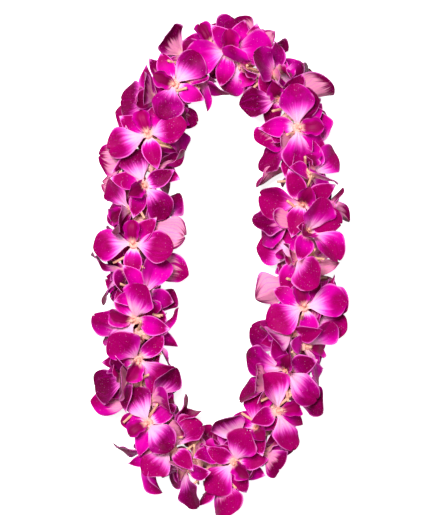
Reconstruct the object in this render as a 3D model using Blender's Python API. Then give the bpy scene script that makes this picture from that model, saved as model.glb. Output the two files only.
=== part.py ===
"""A double orchid lei, lying flat: dendrobium blooms threaded in back-to-back pairs on a closed loop of string."""

import math
import random

import bmesh
import bpy
import numpy as np
from mathutils import Matrix, Vector
from mathutils.bvhtree import BVHTree

# The string's loop as it lies, in metres, clockwise from the far end. +Y is the lei's long way.
STRING_ROUTE = (
    (0.003, 0.207), (0.033, 0.196), (0.060, 0.169), (0.077, 0.128), (0.084, 0.081),
    (0.083, 0.024), (0.084, -0.034), (0.075, -0.088), (0.056, -0.135), (0.036, -0.173),
    (0.005, -0.196), (-0.031, -0.188), (-0.061, -0.155), (-0.076, -0.107), (-0.072, -0.049),
    (-0.077, 0.005), (-0.074, 0.059), (-0.067, 0.110), (-0.050, 0.153), (-0.028, 0.189),
)
STRING_HEIGHT = 0.029
STRING_RADIUS = 0.0008
STRING_CLEARANCE = 0.0004
KNOT_RADIUS = 0.0015

# The blooms along the string. A pair holds two, facing opposite ways, and each pair is turned from the last.
PAIR_COUNT = 45
PAIR_TURN = math.radians(68.8)
PAIR_SPACING = 0.0060
LEAN_SPREAD = math.radians(34)
TURN_SPREAD = math.radians(9)
ROLL_SPREAD = math.radians(90)
SIZE_SPREAD = 0.08
SEED = 20

# A bloom's body, which the string pierces: height over the string and radius, from the spur's end to the column's.
# The sepals grow out of the tier that ends at the throat, and the petals and lip out of the tier above it.
BODY = ((-0.0055, 0.0), (-0.0034, 0.0044), (0.0063, 0.0046), (0.0087, 0.0046), (0.0110, 0.0040), (0.0150, 0.0))
SEPAL_TIER = 2
PETAL_TIER = 3
# Where the body's corners stand round it, in degrees from the upper sepal. Each side between two holds one blade.
BODY_CORNERS = (-41, 41, 111, 160, 200, 249)
# The room that a bloom keeps over its throat until it has opened.
BUD = ((-0.0057, 0.0), (-0.0036, 0.0046), (0.0063, 0.0050), (0.0110, 0.0046), (0.0160, 0.0050), (0.0250, 0.0055),
       (0.0280, 0.0))
THROAT_HEIGHT = 0.0085

# A blade is a petal, sepal or lip: its length and half width, where along it is widest, how blunt it is at its root
# and at its tip, how far its root is raised from flat, how much further in a bloom that faces sideways and is less
# open, and how much it arches back over its length, in degrees, how far its margins rise and how much that may vary,
# how high it sits, which tier it grows from and where its rings stand.
PETAL = dict(length=0.0404, half=0.0156, widest=0.61, root_blunt=0.90, tip_blunt=0.50, raised=29, shut=38,
             arch=52, margin=0.0012, cup=0.0030, seat=0.0002, tier=PETAL_TIER, rings=(0.30, 0.61, 0.92))
SEPAL = dict(length=0.0340, half=0.0082, widest=0.50, root_blunt=0.85, tip_blunt=0.80, raised=15, shut=38,
             arch=46, margin=0.0012, cup=0.0012, seat=-0.0018, tier=SEPAL_TIER, rings=(0.38, 0.76))
LIP = dict(length=0.0245, half=0.0087, widest=0.62, root_blunt=0.70, tip_blunt=0.70, raised=62, shut=0,
           arch=78, margin=0.0046, cup=0.0006, seat=0.0008, tier=PETAL_TIER, rings=(0.42, 0.80))
# Each blade of a bloom, where it points round the throat, and its side of the body.
BLADES = ((PETAL, 82, 1), (PETAL, -82, 5), (SEPAL, 0, 0), (SEPAL, 140, 2), (SEPAL, -140, 4), (LIP, 180, 3))
BLADE_THICKNESS = 0.0012
# How far out of the throat's middle a blade's middle line starts.
BLADE_ROOT = 0.0016
# Across and side of the four points in each ring: the two margins, and the middle of the back and of the front.
RING = ((-1, 0), (0, -1), (1, 0), (0, 1))

# How a blade is bent clear of what already lies in its place: degrees, and shares of its length.
RAISES = (0, 9, -9, 18, 28, 38, 48, 58)
SWINGS = (0, 10, -10, 20, -20)
ARCHES = (0, 24, -20)
TWISTS = (0, 22, -22)
SHARES = (1.0, 0.84, 0.68, 0.50)
ROLLS = (0, 24, -24, 48, -48, 80, -80)
# What bending costs: the degrees that cost one, the cost of a whole blade's length and that of a blade left out.
RAISE_UNIT, SWING_UNIT, ARCH_UNIT, TWIST_UNIT = 10, 9, 16, 14
SHORTER = 14.0
LOSS = 40.0
# The share of its width that a blade keeps however short it is, and where along it a twisted one is fully turned.
SLIMMEST = 0.4
TWISTED = 0.4
# The room round a blade, and the room to its own bloom's blades beyond that share of the way to its first ring.
CLEARANCE = 0.0006
OWN_CLEARANCE = 0.0002
OWN_ROOT = 0.3
# How far off the blooms lie that a blade may meet, and how many of its forms are worked out at a time.
NEARBY = 0.070
BATCH = 40

# Points nearer than this are joined into one.
SAME_POINT = 1e-6
SOLVER = "EXACT"
PETAL_COLOUR = (0.44, 0.001, 0.18, 1.0)
PETAL_ROUGHNESS = 0.5
STRING_COLOUR = (0.80, 0.76, 0.66, 1.0)
STRING_ROUGHNESS = 0.8


class Loop:
    """The smooth closed line of the string, measured along its length."""

    STEPS = 24

    def __init__(self, route, height):
        corners = [Vector((x, y, height)) for x, y in route]
        self.points = []
        for i in range(len(corners)):
            before, start, end, after = (corners[(i + k) % len(corners)] for k in (-1, 0, 1, 2))
            for step in range(self.STEPS):
                t = step / self.STEPS
                self.points.append(0.5 * (2 * start + (end - before) * t
                                          + (2 * before - 5 * start + 4 * end - after) * t**2
                                          + (3 * start - before - 3 * end + after) * t**3))
        self.marks = [0.0]
        for here, there in zip(self.points, self.points[1:] + self.points[:1]):
            self.marks.append(self.marks[-1] + (there - here).length)
        self.length = self.marks[-1]

    def at(self, distance):
        """The point of the line at that distance."""
        distance %= self.length
        i = next(k for k in range(len(self.points)) if self.marks[k + 1] >= distance)
        start, end = self.points[i], self.points[(i + 1) % len(self.points)]
        share = (distance - self.marks[i]) / (self.marks[i + 1] - self.marks[i])
        return start.lerp(end, share)


class Blade:
    """One petal, sepal or lip: a surface that arches out of the throat."""

    def __init__(self, shape, points_to, roots, bloom, upper, cupped):
        self.shape = shape
        self.raised = shape["raised"] + shape["shut"] * (1 - abs(bloom.face.z))
        self.margin = shape["margin"] + shape["cup"] * cupped
        self.roots = roots
        self.face = np.array(bloom.face)
        out = Matrix.Rotation(math.radians(points_to), 3, bloom.face) @ upper
        self.out = np.array(out)
        self.level = np.array(bloom.face.cross(out))
        self.seat = np.array(bloom.throat + bloom.face * shape["seat"])
        self.size = bloom.size
        self.way = (0, 0, 0, 0, 1)

    def surface(self, way, along, across, side, spare=0.0):
        """Points of the blade. along is 0 at the root and 1 at the tip, across runs from one margin at -1 to the
        other at 1, and side is -1 on the back and 1 on the front. spare is added all round. way is how the blade is
        bent, and may hold columns, which give the points of several forms."""
        raise_by, swing, arch_by, twist, share = way
        raised = np.radians(self.raised + raise_by)
        arch = np.radians(self.shape["arch"] + arch_by)
        reach = (self.shape["length"] * self.size * share + spare) / arch
        half = self.shape["half"] * self.size * (SLIMMEST + (1 - SLIMMEST) * share)
        power = math.log(0.5) / math.log(self.shape["widest"])
        bluntness = self.shape["root_blunt"] * (1 - along) + self.shape["tip_blunt"] * along
        wide = half * np.sin(np.pi * along**power).clip(0) ** bluntness
        angle = raised - arch * along
        turned = np.radians(twist) * (along / TWISTED).clip(0, 1)
        swing = np.radians(swing)
        out = times(np.cos(swing), self.out) + times(np.sin(swing), self.level)
        level = times(np.cos(swing), self.level) - times(np.sin(swing), self.out)
        upright = times(np.cos(angle), self.face) - times(np.sin(angle), out)
        crosswise = times(np.cos(turned), level) + times(np.sin(turned), upright)
        normal = times(np.cos(turned), upright) - times(np.sin(turned), level)
        raised_margin = self.margin * wide / half * across**2
        spots = (self.seat + times(BLADE_ROOT + reach * (np.sin(raised) - np.sin(angle)), out)
                 + times(reach * (np.cos(angle) - np.cos(raised)), self.face)
                 + times(across * (wide + spare), crosswise)
                 + times(raised_margin + side * (BLADE_THICKNESS / 2 + spare), normal))
        # A point that would be under the surface is pressed onto it, so a pressed blade is flat below.
        spots[..., 2] = np.maximum(spots[..., 2], np.where(side * normal[..., 2] > 0, BLADE_THICKNESS, 0.0))
        return spots

    def points(self, way, spare=0.0, root=0.0):
        """The points of the blade as a flat-sided solid: the corners of its root, its rings and its tip. root draws
        the corners that share of the way to the first ring."""
        along = np.array([ring for ring in self.shape["rings"] for _ in RING] + [1.0])
        across, side = np.array(list(RING) * len(self.shape["rings"]) + [(0, 0)], float).T
        spots = self.surface(way, along, across, side, spare)
        first = spots[..., :4, :]
        corners = self.roots * (1 - root) + (first + np.roll(first, -1, -2)) / 2 * root
        return np.concatenate((corners, spots), -2).tolist()

    def mesh(self, root=0.0):
        return self.points(self.way, 0.0, root), BLADE_FACES[len(self.shape["rings"])]


def times(amounts, vectors):
    """Each vector times its own amount."""
    return np.asarray(amounts)[..., None] * vectors


def band_faces(low, high, sides):
    """Faces between two rings of points, from the first point of each."""
    faces = []
    for k in range(sides):
        after = (k + 1) % sides
        faces.append((low + k, low + after, high + after))
        faces.append((low + k, high + after, high + k))
    return faces


def blade_faces(rings):
    """Faces of a blade of so many rings. The first two close its root."""
    faces = [(0, 1, 2), (0, 2, 3)] + band_faces(0, 4, 4)
    for ring in range(1, rings):
        faces += band_faces(4 * ring, 4 * ring + 4, 4)
    last = 4 * rings
    return faces + [(last + k, last + (k + 1) % 4, last + 4) for k in range(4)]


BLADE_FACES = {rings: blade_faces(rings) for rings in (2, 3)}
ROOT_FACES = 2


class Bloom:
    """One bloom: its body across the string, and its blades."""

    def __init__(self, start, end, pair, side):
        draw = random.Random(SEED + 1000 * pair + side)
        self.line = (end - start).normalized()
        self.spot = (start + end) / 2 + self.line * PAIR_SPACING * (side - 0.5)
        turned = pair * PAIR_TURN + math.pi * side + draw.uniform(-1, 1) * TURN_SPREAD
        straight_out = Matrix.Rotation(turned, 3, self.line) @ Vector((0, 0, 1))
        lean = draw.uniform(-1, 1) * LEAN_SPREAD
        self.face = Matrix.Rotation(lean, 3, straight_out.cross(self.line)) @ straight_out
        self.roll = draw.choice((0, math.pi)) + draw.uniform(-1, 1) * ROLL_SPREAD
        self.size = 1 + draw.uniform(-1, 1) * SIZE_SPREAD
        self.throat = self.spot + self.face * THROAT_HEIGHT
        self.cups = [draw.uniform(-1, 1) for _ in BLADES]
        self.blades = {}
        self.chosen_upper = None

    def upper(self, roll_by):
        """The way the upper sepal points, with the bloom rolled about its face by that many degrees more."""
        flat = (self.line - self.face * self.line.dot(self.face)).normalized()
        return Matrix.Rotation(self.roll + math.radians(roll_by), 3, self.face) @ flat

    def rings(self, profile, upper):
        """The points of a solid of that profile across the string, ring by ring."""
        rings = []
        for height, radius in profile:
            ring = [self.spot + self.face * height + Matrix.Rotation(math.radians(corner), 3, self.face) @ upper * radius
                    for corner in BODY_CORNERS]
            rings.append([tuple(point) for point in ring])
        return rings

    def solid(self, profile, upper):
        """Points and faces of that solid, which is closed to a point at both ends."""
        rings = self.rings(profile, upper)
        sides = len(BODY_CORNERS)
        faces = []
        for ring in range(len(rings) - 1):
            faces += band_faces(sides * ring, sides * ring + sides, sides)
        return [point for ring in rings for point in ring], faces

    def natural_blades(self, upper):
        """The bloom's blades in their natural shape, by their side of the body."""
        rings = self.rings(BODY, upper)
        blades = {}
        for (shape, points_to, side), cupped in zip(BLADES, self.cups):
            low, high = rings[shape["tier"]], rings[shape["tier"] + 1]
            after = (side + 1) % len(BODY_CORNERS)
            roots = np.array((low[side], low[after], high[after], high[side]))
            blades[shape["tier"], side] = Blade(shape, points_to, roots, self, upper, cupped)
        return blades

    def whole(self):
        """The bloom as one closed solid."""
        solids = [self.body()]
        for blade in self.blades.values():
            points, faces = blade.mesh()
            solids.append((points, faces[ROOT_FACES:]))
        return object_from("bloom", solids)

    def body(self):
        """Points and faces of the body, without the faces that blades grow from."""
        points, faces = self.solid(BODY, self.chosen_upper)
        taken = {(tier * len(BODY_CORNERS) + side) * 2 + k for tier, side in self.blades for k in (0, 1)}
        return points, [face for i, face in enumerate(faces) if i not in taken]


def tree_of(solids):
    """One search tree of the faces of several solids."""
    points, faces = [], []
    for solid_points, solid_faces in solids:
        first = len(points)
        points += solid_points
        faces += [tuple(first + k for k in face) for face in solid_faces]
    return BVHTree.FromPolygons(points, faces)


def ways_to_bend():
    """Every way a blade may be bent clear, after its cost, the slightest first."""
    ways = []
    for share in SHARES:
        for raise_by in RAISES:
            for swing in SWINGS:
                for arch_by in ARCHES:
                    for twist in TWISTS:
                        cost = (abs(raise_by) / RAISE_UNIT + abs(swing) / SWING_UNIT + abs(arch_by) / ARCH_UNIT
                                + abs(twist) / TWIST_UNIT + SHORTER * (1 - share))
                        ways.append((cost, raise_by, swing, arch_by, twist, share))
    return np.array(sorted(ways))


def bend_clear(blade, near, own, ways):
    """Bends the blade into its slightest clear form and returns the cost, or None where no form is clear."""
    faces = BLADE_FACES[len(blade.shape["rings"])]
    for start in range(0, len(ways), BATCH):
        batch = ways[start:start + BATCH]
        for i, points in enumerate(blade.points(batch.T[1:, :, None], CLEARANCE)):
            if BVHTree.FromPolygons(points, faces).overlap(near):
                continue
            beyond_root = blade.points(batch[i, 1:], OWN_CLEARANCE, OWN_ROOT)
            if not BVHTree.FromPolygons(beyond_root, faces).overlap(own):
                blade.way = tuple(batch[i, 1:])
                return batch[i, 0]
    return None


def open_bloom(bloom, near, ways):
    """Opens the bloom with the roll that keeps its form best."""
    least = math.inf
    for roll in ROLLS:
        kept, total = {}, 0.0
        upper = bloom.upper(roll)
        for place, blade in bloom.natural_blades(upper).items():
            cost = bend_clear(blade, near, tree_of([other.mesh(OWN_ROOT) for other in kept.values()]), ways)
            if cost is None:
                total += LOSS
            else:
                kept[place] = blade
                total += cost
            if total >= least:
                break
        if total < least:
            least, bloom.blades, bloom.chosen_upper = total, kept, upper
        if least < LOSS:
            break


def open_all(blooms):
    """Opens the blooms, each blade bent clear of those already open. Those that face up come first."""
    solids = {bloom: [bloom.solid(BUD, bloom.upper(0))] for bloom in blooms}
    ways = ways_to_bend()
    for bloom in sorted(blooms, key=lambda b: -b.face.z):
        near = tree_of([solid for other in blooms
                        if other is not bloom and (other.throat - bloom.throat).length < NEARBY
                        for solid in solids[other]])
        open_bloom(bloom, near, ways)
        solids[bloom] = [bloom.body()] + [blade.mesh() for blade in bloom.blades.values()]


def object_from(name, solids):
    """A mesh object of those points and faces, joined where they meet, with its faces pointing out."""
    mesh = bpy.data.meshes.new(name)
    shape = bmesh.new()
    for points, faces in solids:
        corners = [shape.verts.new(point) for point in points]
        for face in faces:
            shape.faces.new([corners[k] for k in face])
    bmesh.ops.remove_doubles(shape, verts=shape.verts, dist=SAME_POINT)
    bmesh.ops.recalc_face_normals(shape, faces=shape.faces)
    shape.to_mesh(mesh)
    shape.free()
    mesh.shade_flat()
    made = bpy.data.objects.new(name, mesh)
    bpy.context.scene.collection.objects.link(made)
    return made


def drawn_string(name, corners, radius):
    """A closed four-sided tube through the corners, as a mesh object."""
    curve = bpy.data.curves.new(name, "CURVE")
    curve.dimensions = "3D"
    curve.bevel_depth = radius
    curve.bevel_resolution = 0
    line = curve.splines.new("POLY")
    line.points.add(len(corners) - 1)
    for point, corner in zip(line.points, corners):
        point.co = (*corner, 1)
    line.use_cyclic_u = True
    tube = bpy.data.objects.new(name, curve)
    bpy.context.scene.collection.objects.link(tube)
    bpy.context.view_layer.objects.active = tube
    tube.select_set(True)
    bpy.ops.object.convert(target="MESH")
    tube.select_set(False)
    return tube


def knot(name, middle):
    bpy.ops.mesh.primitive_ico_sphere_add(subdivisions=2, radius=KNOT_RADIUS, location=middle)
    bpy.context.object.name = name
    bpy.ops.object.transform_apply()
    return bpy.context.object


def fused(name, pieces, material):
    """One object of that name made of the pieces, which are removed."""
    whole, *others = pieces
    whole.name = whole.data.name = name
    whole.data.materials.append(material)
    others_of_node = bpy.data.collections.new(name + "_pieces")
    for piece in others:
        others_of_node.objects.link(piece)
    join = whole.modifiers.new("Fuse", "BOOLEAN")
    join.operation = "UNION"
    join.operand_type = "COLLECTION"
    join.collection = others_of_node
    join.solver = SOLVER
    bpy.context.view_layer.objects.active = whole
    bpy.ops.object.modifier_apply(modifier=join.name)
    for piece in others:
        bpy.data.objects.remove(piece)
    bpy.data.collections.remove(others_of_node)
    return whole


def bored(whole, cutter):
    """Cuts the string's way through it."""
    cut = whole.modifiers.new("String way", "BOOLEAN")
    cut.operation = "DIFFERENCE"
    cut.object = cutter
    cut.solver = SOLVER


def principled(name, colour, roughness):
    material = bpy.data.materials.new(name)
    material.use_nodes = True
    surface = material.node_tree.nodes["Principled BSDF"]
    surface.inputs["Base Color"].default_value = colour
    surface.inputs["Roughness"].default_value = roughness
    material.diffuse_color = colour
    return material


def centre_over_origin(nodes, moved):
    """Moves everything so that the lei's middle stands over the origin."""
    graph = bpy.context.evaluated_depsgraph_get()
    points = [corner for node in nodes for corner in node.evaluated_get(graph).bound_box]
    low, high = np.min(points, 0), np.max(points, 0)
    for obj in moved:
        obj.location.x -= (low[0] + high[0]) / 2
        obj.location.y -= (low[1] + high[1]) / 2


def main():
    for obj in list(bpy.data.objects):
        bpy.data.objects.remove(obj)
    lei, cutters = (bpy.data.collections.new(name) for name in ("double_orchid_lei", "cutters"))
    bpy.context.scene.collection.children.link(lei)
    bpy.context.scene.collection.children.link(cutters)
    petal = principled("Petal", PETAL_COLOUR, PETAL_ROUGHNESS)
    thread = principled("Thread", STRING_COLOUR, STRING_ROUGHNESS)
    loop = Loop(STRING_ROUTE, STRING_HEIGHT)
    corners = [loop.at(loop.length * pair / PAIR_COUNT) for pair in range(PAIR_COUNT + 1)]
    blooms = [Bloom(*corners[pair:pair + 2], pair, side) for pair in range(PAIR_COUNT) for side in (0, 1)]
    open_all(blooms)
    string = drawn_string("string", corners[:-1], STRING_RADIUS)
    nodes = [fused("string", [string, knot("knot", corners[0])], thread)]
    cutter = drawn_string("string_way", corners[:-1], STRING_RADIUS + STRING_CLEARANCE)
    cutter.hide_render = True
    cutter.display_type = "WIRE"
    for pair in range(PAIR_COUNT):
        pieces = [bloom.whole() for bloom in blooms[2 * pair:2 * pair + 2]]
        nodes.append(fused(f"bloom_pair_{pair + 1:02d}", pieces, petal))
        bored(nodes[-1], cutter)
    centre_over_origin(nodes, [*nodes, cutter])
    for obj in [*nodes, cutter]:
        bpy.context.scene.collection.objects.unlink(obj)
        (cutters if obj is cutter else lei).objects.link(obj)


if __name__ == "__main__":
    main()
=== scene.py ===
"""The looks of a double orchid lei: fine petals, sepals, lips, necks and stems over its plain CAD blooms."""

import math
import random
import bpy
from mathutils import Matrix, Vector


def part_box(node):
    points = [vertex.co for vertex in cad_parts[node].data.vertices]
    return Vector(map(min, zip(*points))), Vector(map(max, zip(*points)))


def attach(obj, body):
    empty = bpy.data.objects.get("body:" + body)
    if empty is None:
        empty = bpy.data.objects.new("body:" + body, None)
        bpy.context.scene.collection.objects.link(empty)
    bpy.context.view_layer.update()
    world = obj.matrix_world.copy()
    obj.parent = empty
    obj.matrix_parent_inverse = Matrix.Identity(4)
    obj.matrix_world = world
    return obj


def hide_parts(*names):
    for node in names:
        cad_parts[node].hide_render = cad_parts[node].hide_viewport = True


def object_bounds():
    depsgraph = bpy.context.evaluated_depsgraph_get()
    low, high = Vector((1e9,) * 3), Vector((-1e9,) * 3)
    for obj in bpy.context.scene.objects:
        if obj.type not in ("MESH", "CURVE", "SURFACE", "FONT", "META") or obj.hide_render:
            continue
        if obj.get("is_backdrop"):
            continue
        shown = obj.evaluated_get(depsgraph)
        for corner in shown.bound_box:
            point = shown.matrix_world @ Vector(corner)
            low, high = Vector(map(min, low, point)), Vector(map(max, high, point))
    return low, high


bl_info = {
    "name": "Double orchid lei",
    "version": (1, 0, 0),
    "blender": (4, 5, 0),
    "location": "3D View > Sidebar > Lei",
    "description": "Dresses the lei's blooms in fine petals, strings them on cotton and lays them on a floor",
    "category": "Object",
}

import bpy
import numpy as np
from bpy.props import FloatProperty, FloatVectorProperty, PointerProperty
from mathutils import Matrix, Vector
from mathutils.bvhtree import BVHTree

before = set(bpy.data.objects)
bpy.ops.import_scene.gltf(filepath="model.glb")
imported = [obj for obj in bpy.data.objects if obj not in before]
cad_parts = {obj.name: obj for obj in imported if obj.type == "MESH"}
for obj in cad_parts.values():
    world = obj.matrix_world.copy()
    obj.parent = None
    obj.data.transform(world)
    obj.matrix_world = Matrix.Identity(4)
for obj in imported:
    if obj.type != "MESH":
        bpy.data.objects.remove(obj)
CAD_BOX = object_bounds()
BODY = "root"
UP = Vector((0, 0, 1))

# The string's loop and the blooms on it, as the CAD part lays them, in metres before the part was centred.
STRING_ROUTE = (
    (0.003, 0.207), (0.033, 0.196), (0.060, 0.169), (0.077, 0.128), (0.084, 0.081),
    (0.083, 0.024), (0.084, -0.034), (0.075, -0.088), (0.056, -0.135), (0.036, -0.173),
    (0.005, -0.196), (-0.031, -0.188), (-0.061, -0.155), (-0.076, -0.107), (-0.072, -0.049),
    (-0.077, 0.005), (-0.074, 0.059), (-0.067, 0.110), (-0.050, 0.153), (-0.028, 0.189),
)
STRING_HEIGHT = 0.029
PAIR_COUNT = 45
PAIR_TURN = math.radians(68.8)
PAIR_SPACING = 0.0060
LEAN_SPREAD = math.radians(34)
TURN_SPREAD = math.radians(9)
ROLL_SPREAD = math.radians(90)
SIZE_SPREAD = 0.08
SEED = 20
THROAT_HEIGHT = 0.0085
COLUMN_TOP = 0.0150

# The CAD blades: length, half width, where widest, how blunt at the root and at the tip, how far raised, how
# much further shut where the bloom faces sideways and how far arched, in degrees, rise of the margins and how
# much it varies, height of the seat and where the rings of points stand.
PETAL = dict(kind="petal", length=0.0404, half=0.0156, widest=0.61, root_blunt=0.90, tip_blunt=0.50,
             raised=29, shut=38, arch=52, margin=0.0012, cup=0.0030, seat=0.0002, rings=(0.30, 0.61, 0.92))
SEPAL = dict(kind="sepal", length=0.0340, half=0.0082, widest=0.50, root_blunt=0.85, tip_blunt=0.80,
             raised=15, shut=38, arch=46, margin=0.0012, cup=0.0012, seat=-0.0018, rings=(0.38, 0.76))
LIP = dict(kind="lip", length=0.0245, half=0.0087, widest=0.62, root_blunt=0.70, tip_blunt=0.70,
           raised=62, shut=0, arch=78, margin=0.0046, cup=0.0006, seat=0.0008, rings=(0.42, 0.80))
# Each blade of a bloom, and where it points, in degrees round the face from the upper sepal.
BLADES = ((PETAL, 82), (PETAL, -82), (SEPAL, 0), (SEPAL, 140), (SEPAL, -140), (LIP, 180))
BLADE_THICKNESS = 0.0012
BLADE_ROOT = 0.0016
SLIMMEST = 0.4
TWISTED = 0.4
RING = ((-1, 0), (0, -1), (1, 0), (0, 1))

# The ways in which the CAD part may have bent a blade or rolled a bloom: degrees, and shares of the length.
RAISES = (0, 9, -9, 18, 28, 38, 48, 58)
SWINGS = (0, 10, -10, 20, -20)
ARCHES = (0, 24, -20)
TWISTS = (0, 22, -22)
SHARES = (1.0, 0.84, 0.68, 0.50)
ROLLS = (0, 24, -24, 48, -48, 80, -80)
SAME_POINT = 6e-5
MOST_HITS = 0.7
ENOUGH_BLADES = 4

# How the finished blades differ from the CAD ones, with lengths in metres. Rows and columns are counts of
# faces. Slim is a factor of the width and claw its least value at the root, fan moves the widest place
# outwards and point sharpens the tip. Skew, uneven, waist, bow and notch change the outline. Cup, fold, curl,
# roll and tip bend the blade. Waves, groove and pleat are its relief, and ruffle is a share of the petals'.
LOOKS = {
    "petal": dict(rows=22, columns=14, slim=1.07, claw=0.0024, fan=1.16, point=0.26,
                  skew=0.18, uneven=0.07, waist=0.0, bow=0.0018, notch=0.08,
                  cup=0.0016, fold=0.0034, curl=0.0090, roll=0.0009, tip=0.0034,
                  ruffle=1.0, waves=13.0, groove=0.0006, pleat=0.0006),
    "sepal": dict(rows=18, columns=10, slim=1.14, claw=0.0034, fan=1.0, point=0.30,
                  skew=0.12, uneven=0.04, waist=0.0, bow=0.0014, notch=0.0,
                  cup=0.0007, fold=0.0016, curl=0.0050, roll=0.0003, tip=0.0036,
                  ruffle=0.375, waves=9.0, groove=0.0005, pleat=0.0003),
    "lip": dict(rows=22, columns=14, slim=1.08, claw=0.0024, fan=1.0, point=0.30,
                skew=0.08, uneven=0.04, waist=0.22, bow=0.0006, notch=0.10,
                cup=0.0006, fold=0.0, curl=0.0, roll=-0.0016, tip=0.0024,
                ruffle=0.875, waves=19.0, groove=-0.0007, pleat=0.0006),
}
# How much closer a blade's rows stand towards its tip, how much more the margins of an upright blade curl,
# and the least height of a blade over the floor.
ROW_CROWDING = 1.5
UPRIGHT_CURL = 0.9
FLOOR_GAP = 0.0001

# Where the colours of a blade change: each pair holds the start and the end of a change, mostly in shares of
# the blade's length. The shade pairs run over the blade's second random number and lay painted shade: maroon
# over the blades past them, as if they lay in shadow.
PETAL_BANDS = dict(neck=(0.08, 0.24), pale=(0.18, 0.47), glow=(0.30, 0.58), heart=(0.26, 0.66),
                   shade=(0.40, 0.80), back=(0.44, 0.66))
SEPAL_BANDS = dict(neck=(0.08, 0.28), root=(0.08, 0.36), heart=(0.35, 0.75), tip=(0.82, 0.98),
                   shade=(0.55, 0.95), back=(0.46, 0.70))
LIP_BANDS = dict(neck=(0.06, 0.30), margin=(0.45, 1.0), shade=(0.10, 0.80), back=(0.1, 0.7))
FRONT = (-0.5, 0.5)
# How far a bloom's own number moves it in the noise, so that no two blooms are alike.
TINT_STEP = 9.0
# Scales of the painted dew glints and of the fine grain.
GLINT_SCALE = 520.0
GRAIN_SCALE = 850.0

# Heights over the string and radii of the turned pieces. The stem's are in shares of its own.
NECK_PROFILE = ((-0.0055, 0.0008), (-0.0053, 0.0019), (-0.0046, 0.0032), (-0.0032, 0.0042), (-0.0012, 0.0046),
                (0.0014, 0.0044), (0.0040, 0.0043), (0.0064, 0.0046), (0.0084, 0.0048), (0.0100, 0.0045),
                (0.0110, 0.0036), (0.0111, 0.0028), (0.0102, 0.0021))
COLUMN_PROFILE = ((0.0095, 0.0019), (0.0108, 0.0017), (0.0122, 0.0015), (0.0134, 0.0014), (0.0140, 0.0016),
                  (0.0147, 0.0018), (0.0154, 0.0015), (0.0158, 0.0008))
STEM_PROFILE = tuple((k / 8, 1.0) for k in range(9))
NECK_SIDES = 30
COLUMN_SIDES = 14
STEM_SIDES = 9
# The neck's creases: their depth as a share of the radius, how many there are and how fast they wind. They
# fade in and out over this height.
NECK_CREASES = ((0.07, 5, 160), (0.035, 11, -300))
NECK_CREASED = 0.0167
# How far the neck's chin stands out under the lip, its height over the string, and its spread up and down.
CHIN = 0.0060
CHIN_HEIGHT = 0.0010
CHIN_SPREAD = 0.0034
# The height over which the column bows towards the lip and is hollowed, and how far.
COLUMN_BENT = 0.0070
COLUMN_BOW = 0.0022
COLUMN_HOLLOW = 0.45

# A cut stem starts this far behind the string and this far from the bloom's axis. It keeps this gap to what
# it points at, and has this least length, height over the floor and bow.
STEM_BEHIND = 0.0022
STEM_ASIDE = 0.0065
STEM_GAP = 0.001
STEM_SHORTEST = 0.008
STEM_LOWEST = 0.004
STEM_BOW = 0.0012
# Its length times how many of its marks show from above is over STEM_SEEN.
STEM_MARKS = 5
STEM_SEEN = 0.040
STEM_WAYS = 20
STEM_TURNED_BACK = (0.0, 0.35, 0.7)

# The string's points for each pair of blooms, the turns of its plies, and its knot.
STRING_PARTS = 19
PLY_TURNS = 210
LOBE_POINTS = 12
KNOT_POINTS = 60
KNOT_SIZE = 0.00055
KNOT_END = 0.0016

# The photograph looks straight down. It takes in this height of the lei's middle plane, centred here.
PHOTO_HEIGHT = 0.4900
PHOTO_PLANE = 0.036
PHOTO_MIDDLE = (-0.0080, 0.0058)
CAMERA_DISTANCE = 1.2
KEY_LIGHT = dict(spot=(-0.30, 0.40, 1.5), size=0.50, watts=33)
FILL_LIGHT = dict(spot=(0.7, -0.6, 1.3), size=1.0, watts=5)
WORLD_LIGHT = 0.13
FLOOR_SIZE = 40
FLOOR_GLOW = 0.85


def linear(*bytes_of_colour):
    """A colour given as red, green and blue up to 255, in the linear values that Blender keeps."""
    shares = [value / 255 for value in bytes_of_colour]
    return tuple(s / 12.92 if s <= 0.04045 else ((s + 0.055) / 1.055) ** 2.4 for s in shares)


def length(name, default, description):
    return FloatProperty(name=name, description=description, default=default, min=0, unit="LENGTH",
                         precision=5)


def colour(name, red, green, blue, description):
    return FloatVectorProperty(name=name, description=description, default=linear(red, green, blue), min=0,
                               max=1, subtype="COLOR")


class LeiSizes(bpy.types.PropertyGroup):
    """Sizes of the detail that the CAD part leaves out."""

    thickness: length("Petal thickness", 0.0006, "Thickness of a petal in its middle")
    ruffle: length("Ruffle", 0.0016, "How far a petal's margins wave")
    stem: length("Stem radius", 0.0014, "Radius of the cut stem behind a bloom")
    stem_reach: length("Stem length", 0.0180, "Length of the longest cut stem")
    ply: length("Ply", 0.00042, "Radius of each of the string's two plies")


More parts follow.
